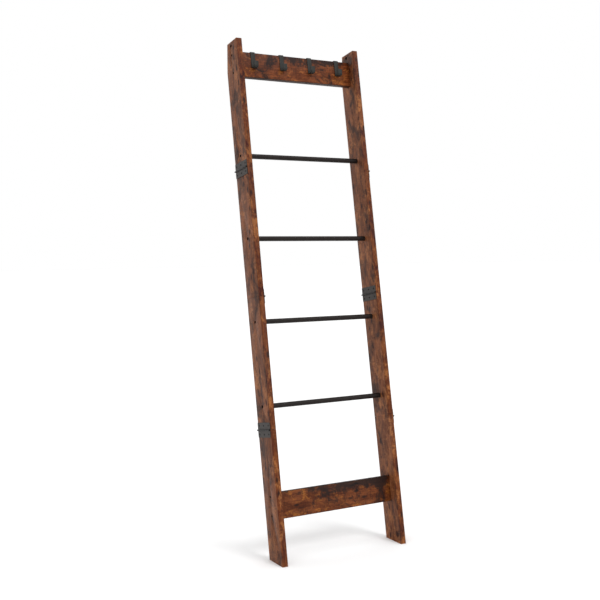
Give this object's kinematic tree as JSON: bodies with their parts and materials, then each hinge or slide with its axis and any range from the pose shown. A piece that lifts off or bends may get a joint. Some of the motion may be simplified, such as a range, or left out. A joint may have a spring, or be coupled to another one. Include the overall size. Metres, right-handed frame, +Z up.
{
  "type": "ladder shelf",
  "caption": "Leaning blanket ladder: two wooden rails of hinged lengths, top and bottom boards, round metal rungs and sliding hooks over the top board.",
  "frame": {"origin": "on the floor, at the middle of the ladder's leaning footprint, which is the bottom centre of its bounding box", "axes": "+Z up, +X to the ladder's right seen from the front, -Y to the front, +Y to the wall it leans on"},
  "size_m": [0.448, 0.3374, 1.556],
  "materials": {
    "wood": "rustic brown wood-grain laminate, satin, with darker knots and streaks",
    "rung_metal": "black powder coat, satin",
    "hook_metal": "black powder coat, satin",
    "hinge_metal": "dark grey coated steel, satin",
    "hinge_pin_metal": "blackened steel",
    "bolt_metal": "blackened steel"
  },
  "bodies": {
    "ladder": {"left_rail_foot": "wood", "left_rail_lower": "wood", "left_rail_upper": "wood", "left_rail_top": "wood", "left_hinge_low_upper_leaf": "hinge_metal", "left_hinge_low_lower_leaf": "hinge_metal", "left_hinge_low_pin": "hinge_pin_metal", "left_hinge_mid_upper_leaf": "hinge_metal", "left_hinge_mid_lower_leaf": "hinge_metal", "left_hinge_mid_pin": "hinge_pin_metal", "left_hinge_high_upper_leaf": "hinge_metal", "left_hinge_high_lower_leaf": "hinge_metal", "left_hinge_high_pin": "hinge_pin_metal", "right_rail_foot": "wood", "right_rail_lower": "wood", "right_rail_upper": "wood", "right_rail_top": "wood", "right_hinge_low_upper_leaf": "hinge_metal", "right_hinge_low_lower_leaf": "hinge_metal", "right_hinge_low_pin": "hinge_pin_metal", "right_hinge_mid_upper_leaf": "hinge_metal", "right_hinge_mid_lower_leaf": "hinge_metal", "right_hinge_mid_pin": "hinge_pin_metal", "right_hinge_high_upper_leaf": "hinge_metal", "right_hinge_high_lower_leaf": "hinge_metal", "right_hinge_high_pin": "hinge_pin_metal", "bottom_board": "wood", "bottom_board_left_lower_bolt": "bolt_metal", "bottom_board_left_upper_bolt": "bolt_metal", "bottom_board_right_lower_bolt": "bolt_metal", "bottom_board_right_upper_bolt": "bolt_metal", "top_board": "wood", "top_board_left_lower_bolt": "bolt_metal", "top_board_left_upper_bolt": "bolt_metal", "top_board_right_lower_bolt": "bolt_metal", "top_board_right_upper_bolt": "bolt_metal", "rung_1": "rung_metal", "rung_1_left_plug": "bolt_metal", "rung_1_left_bolt": "bolt_metal", "rung_1_right_plug": "bolt_metal", "rung_1_right_bolt": "bolt_metal", "rung_2": "rung_metal", "rung_2_left_plug": "bolt_metal", "rung_2_left_bolt": "bolt_metal", "rung_2_right_plug": "bolt_metal", "rung_2_right_bolt": "bolt_metal", "rung_3": "rung_metal", "rung_3_left_plug": "bolt_metal", "rung_3_left_bolt": "bolt_metal", "rung_3_right_plug": "bolt_metal", "rung_3_right_bolt": "bolt_metal", "rung_4": "rung_metal", "rung_4_left_plug": "bolt_metal", "rung_4_left_bolt": "bolt_metal", "rung_4_right_plug": "bolt_metal", "rung_4_right_bolt": "bolt_metal"},
    "hook_1": {"hook_1": "hook_metal"},
    "hook_2": {"hook_2": "hook_metal"},
    "hook_3": {"hook_3": "hook_metal"},
    "hook_4": {"hook_4": "hook_metal"}
  },
  "joints": [
    {"name": "hook_1_slide", "type": "slide", "parent": "ladder", "child": "hook_1", "axis": [1, 0, 0], "range_m": [-0.04, 0.04]},
    {"name": "hook_2_slide", "type": "slide", "parent": "ladder", "child": "hook_2", "axis": [1, 0, 0], "range_m": [-0.04, 0.04]},
    {"name": "hook_3_slide", "type": "slide", "parent": "ladder", "child": "hook_3", "axis": [1, 0, 0], "range_m": [-0.04, 0.04]},
    {"name": "hook_4_slide", "type": "slide", "parent": "ladder", "child": "hook_4", "axis": [1, 0, 0], "range_m": [-0.04, 0.04]}
  ]
}
